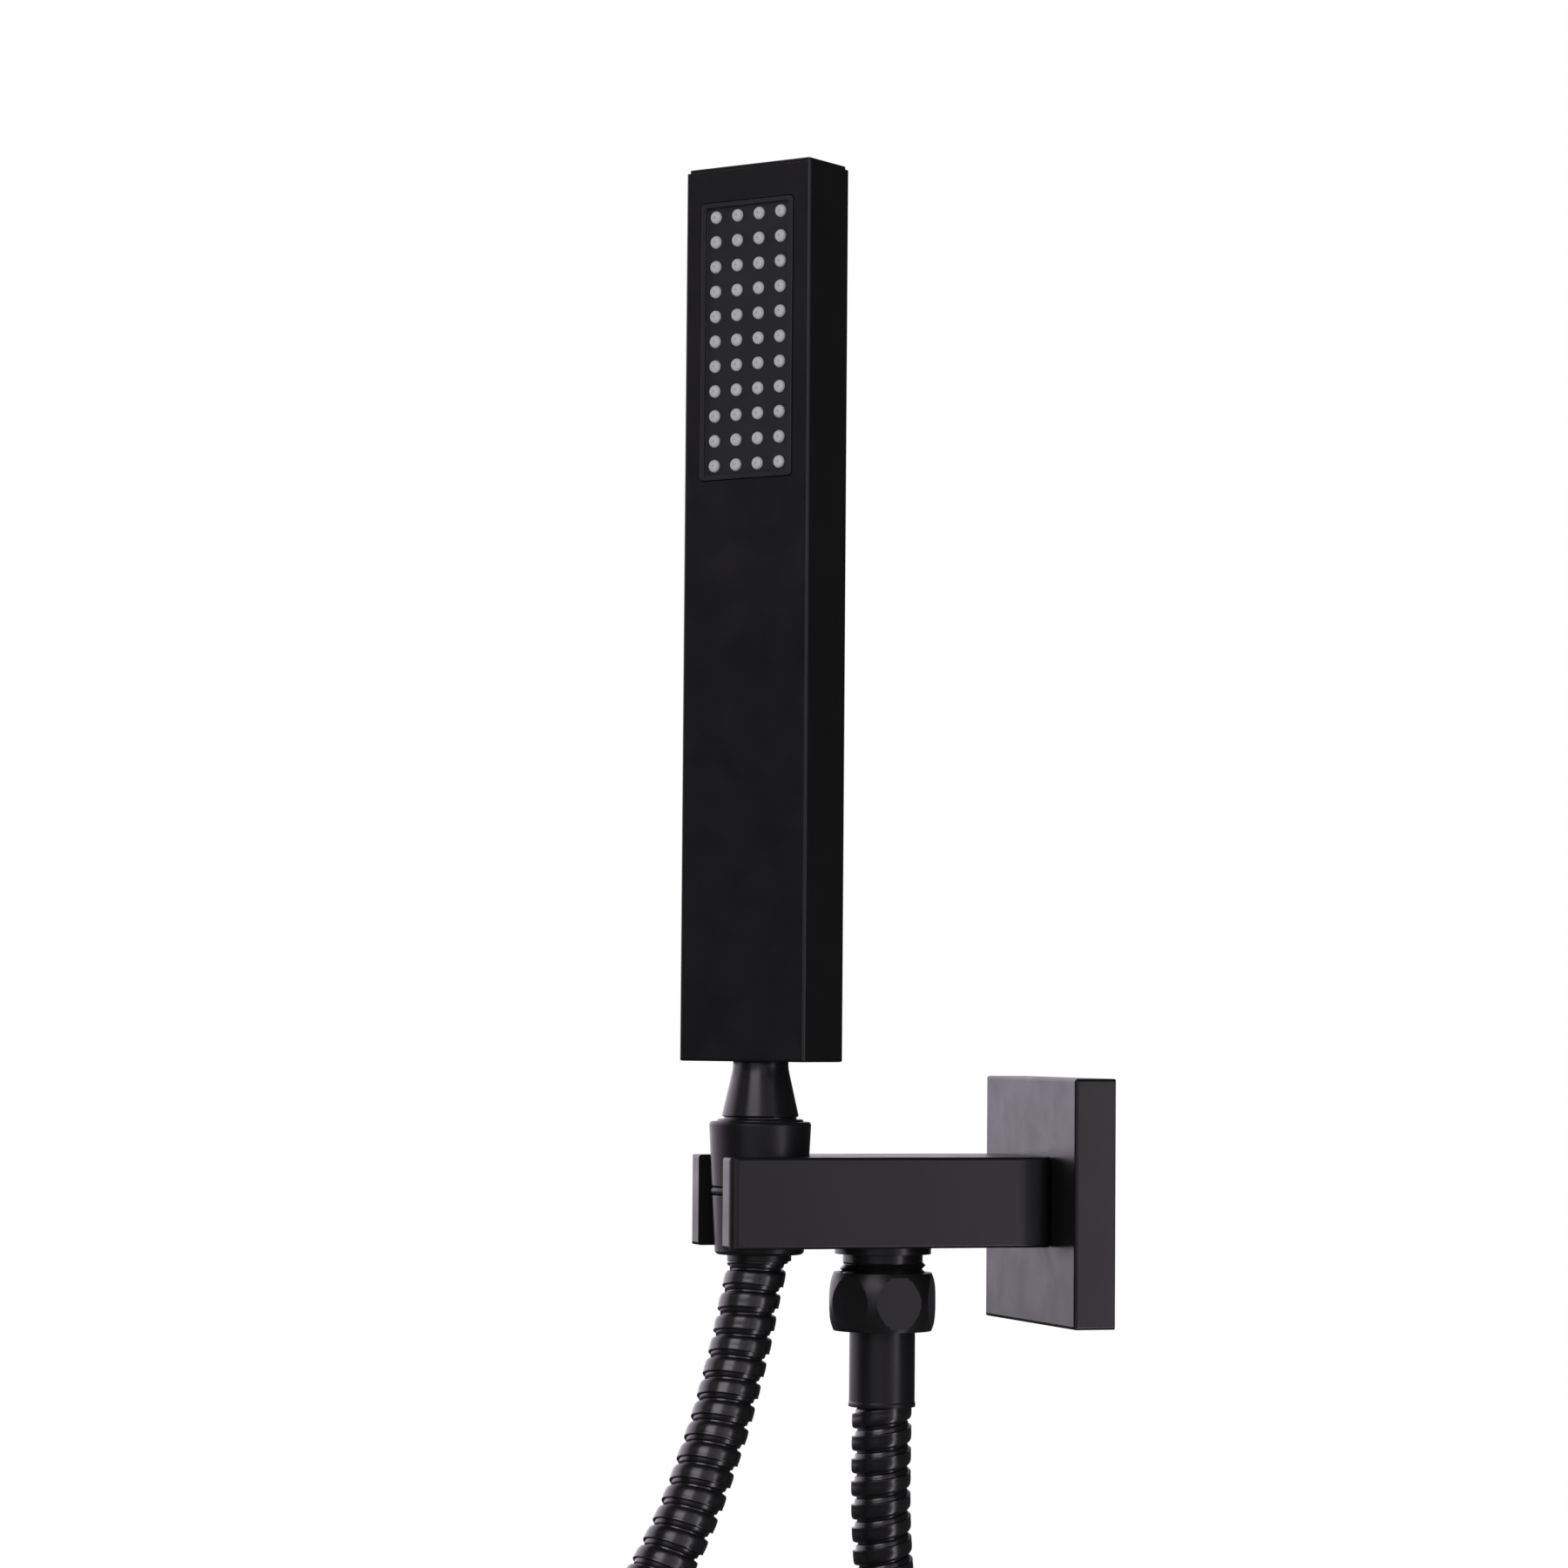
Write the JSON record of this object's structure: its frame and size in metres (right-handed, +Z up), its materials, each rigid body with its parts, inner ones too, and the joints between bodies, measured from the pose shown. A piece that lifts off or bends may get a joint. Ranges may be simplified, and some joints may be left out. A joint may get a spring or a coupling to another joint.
{
  "type": "handheld shower head",
  "caption": "Slim rectangular stick hand shower standing in the open fork of a square wall bracket with a built-in water outlet, its hose running down to a tied coil.",
  "frame": {"origin": "centre of the wall inlet's mouth, in the plane of the wall that the flange sits on", "axes": "+X into the wall along the inlet's axis, +Z up along the standing handset, so the arm reaches along -X"},
  "size_m": [0.1763, 0.0802, 0.514],
  "materials": {
    "black_coat": "satin black coating on brass",
    "black_insert": "satin black moulded plastic",
    "black_hose": "satin black ribbed sheath over a braided liner",
    "strap": "black rubber strap",
    "nozzles": "light grey silicone",
    "bare_brass": "machined",
    "gasket": "black sealing rubber",
    "white_plastic": "white moulded plastic",
    "spring_steel": "drawn stainless steel"
  },
  "bodies": {
    "bracket": {"wall_flange": "black_coat", "flange_seal": "gasket", "inlet_nipple": "bare_brass", "inlet_washer": "gasket", "bracket_arm": "black_coat", "outlet_nipple": "black_coat", "outlet_seal": "gasket", "valve_body": "white_plastic", "valve_seal": "gasket", "valve_spring": "spring_steel", "outlet_washer": "gasket", "union_nut": "black_coat", "outlet_tail": "bare_brass", "outlet_ferrule": "black_coat", "outlet_hose": "black_hose", "hose_coil": "black_hose", "coil_tie": "strap", "handset_hose": "black_hose"},
    "hose_end": {"handset_tail": "bare_brass", "handset_ferrule": "black_coat"},
    "handset": {"handset_nut": "black_coat", "nut_ring": "gasket", "nut_washer": "gasket", "strainer": "spring_steel", "flow_restrictor": "white_plastic", "handset_neck": "black_coat", "neck_seal": "gasket", "riser_tube": "white_plastic", "riser_seal_low": "gasket", "riser_seal_high": "gasket", "handset_bar": "black_coat", "top_cap": "black_coat", "spray_face": "black_insert", "nozzle_mat": "nozzles", "water_tray": "white_plastic"},
    "poppet": {"valve_poppet": "white_plastic"}
  },
  "joints": [
    {"name": "handset_lift", "type": "slide", "parent": "bracket", "child": "hose_end", "axis": [0, 0, 1], "range_m": [0, 0.03], "deforming": ["handset_hose"]},
    {"name": "handset_swivel", "type": "hinge", "parent": "hose_end", "child": "handset", "pos_m": [-0.08, 0, 0], "axis": [0, 0, 1], "continuous": true},
    {"name": "valve_open", "type": "slide", "parent": "bracket", "child": "poppet", "axis": [0, 0, -1], "range_m": [0, 0.002], "stiffness_N_per_m": 60, "springref_m": -0.003, "deforming": ["valve_spring"]}
  ]
}
